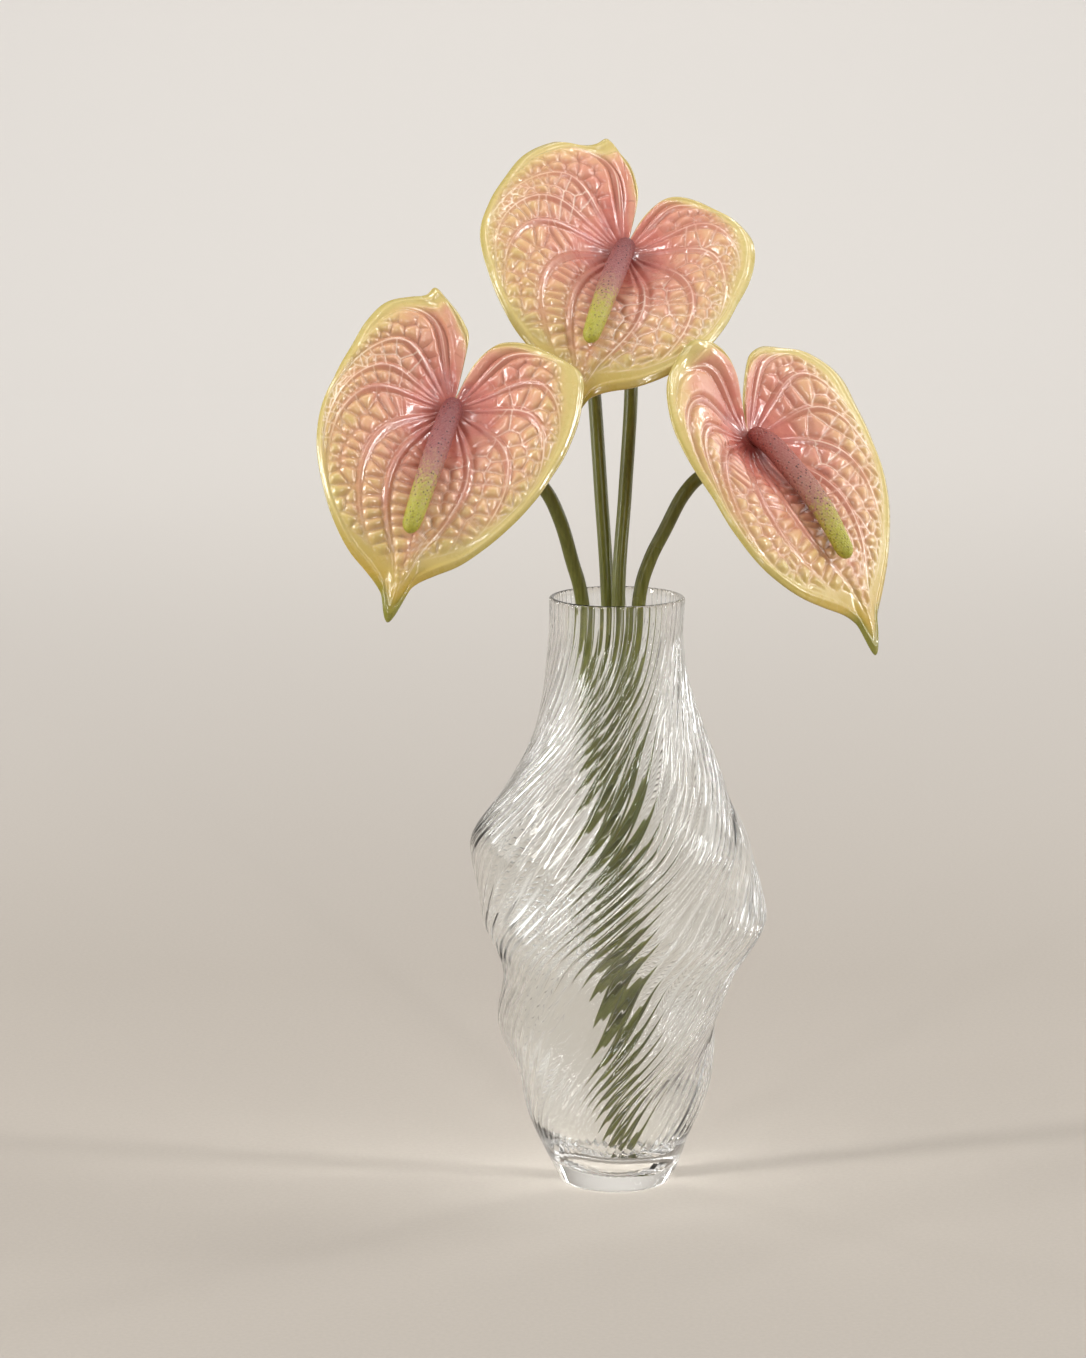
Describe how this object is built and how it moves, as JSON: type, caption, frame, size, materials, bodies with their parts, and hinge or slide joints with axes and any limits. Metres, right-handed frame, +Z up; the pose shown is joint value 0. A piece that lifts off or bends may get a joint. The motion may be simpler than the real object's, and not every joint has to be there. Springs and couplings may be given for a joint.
{
  "type": "anthurium in vase",
  "caption": "Open anthurium flowers and a young rolled one on green stems, standing in a tall lobed and twisted vase of clear ribbed glass.",
  "frame": {"origin": "middle of the vase's flat base, on the surface that it stands on", "axes": "+Z up along the vase, -Y towards the front that the open flowers face, +X to the right seen from the front"},
  "size_m": [0.2596, 0.1713, 0.4869],
  "materials": {
    "glass": "polished",
    "stem": "satin",
    "blade": "gloss",
    "spadix": "satin",
    "young_blade": "satin"
  },
  "bodies": {
    "root": {"vase": "glass", "stem_left": "stem", "stem_top": "stem", "stem_right": "stem", "stem_young": "stem", "spathe_left": "blade", "spathe_top": "blade", "spathe_right": "blade", "spadix_left": "spadix", "spadix_top": "spadix", "spadix_right": "spadix", "young_spathe": "young_blade"}
  },
  "joints": []
}
